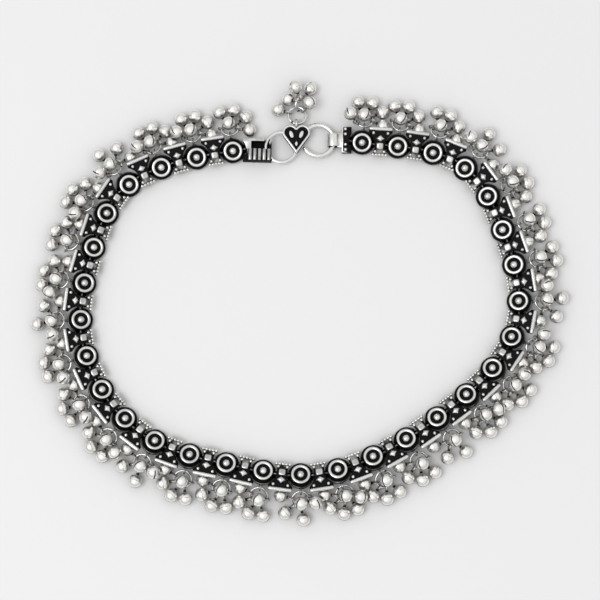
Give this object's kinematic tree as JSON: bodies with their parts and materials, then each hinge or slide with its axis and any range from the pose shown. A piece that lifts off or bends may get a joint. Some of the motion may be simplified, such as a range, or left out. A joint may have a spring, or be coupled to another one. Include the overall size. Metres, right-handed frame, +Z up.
{
  "type": "payal anklet",
  "caption": "Flexible anklet of round rosette links and granulated bridge links with a fringe of small bells on jump rings, fastened by a hook clasp with a heart plaque.",
  "frame": {"origin": "under the middle of the fastened loop's box, on the surface that it lies on", "axes": "+X along the loop's long way, +Y towards the clasp, +Z up from the surface, out of the decorated face"},
  "size_m": [0.1148, 0.0958, 0.0048],
  "materials": {
    "oxidised_silver": "polished on the raised work, black in the recesses",
    "bright_silver": "polished, lightly worn",
    "white_silver": "soft white satin"
  },
  "bodies": {
    "root": {"rosette_01": "oxidised_silver", "rosette_02": "oxidised_silver", "rosette_03": "oxidised_silver", "rosette_04": "oxidised_silver", "rosette_05": "oxidised_silver", "rosette_06": "oxidised_silver", "rosette_07": "oxidised_silver", "rosette_08": "oxidised_silver", "rosette_09": "oxidised_silver", "rosette_10": "oxidised_silver", "rosette_11": "oxidised_silver", "rosette_12": "oxidised_silver", "rosette_13": "oxidised_silver", "rosette_14": "oxidised_silver", "rosette_15": "oxidised_silver", "rosette_16": "oxidised_silver", "rosette_17": "oxidised_silver", "rosette_18": "oxidised_silver", "rosette_19": "oxidised_silver", "rosette_20": "oxidised_silver", "rosette_21": "oxidised_silver", "rosette_22": "oxidised_silver", "rosette_23": "oxidised_silver", "rosette_24": "oxidised_silver", "rosette_25": "oxidised_silver", "rosette_26": "oxidised_silver", "rosette_27": "oxidised_silver", "rosette_28": "oxidised_silver", "rosette_29": "oxidised_silver", "rosette_30": "oxidised_silver", "rosette_31": "oxidised_silver", "bridge_links": "oxidised_silver", "fringe_rings": "bright_silver", "fringe_bells": "white_silver", "heart_clasp": "oxidised_silver", "hook_bail": "oxidised_silver", "ring_bail": "oxidised_silver", "drop_ring": "bright_silver", "drop_link": "bright_silver", "drop_bells": "white_silver"}
  },
  "joints": []
}
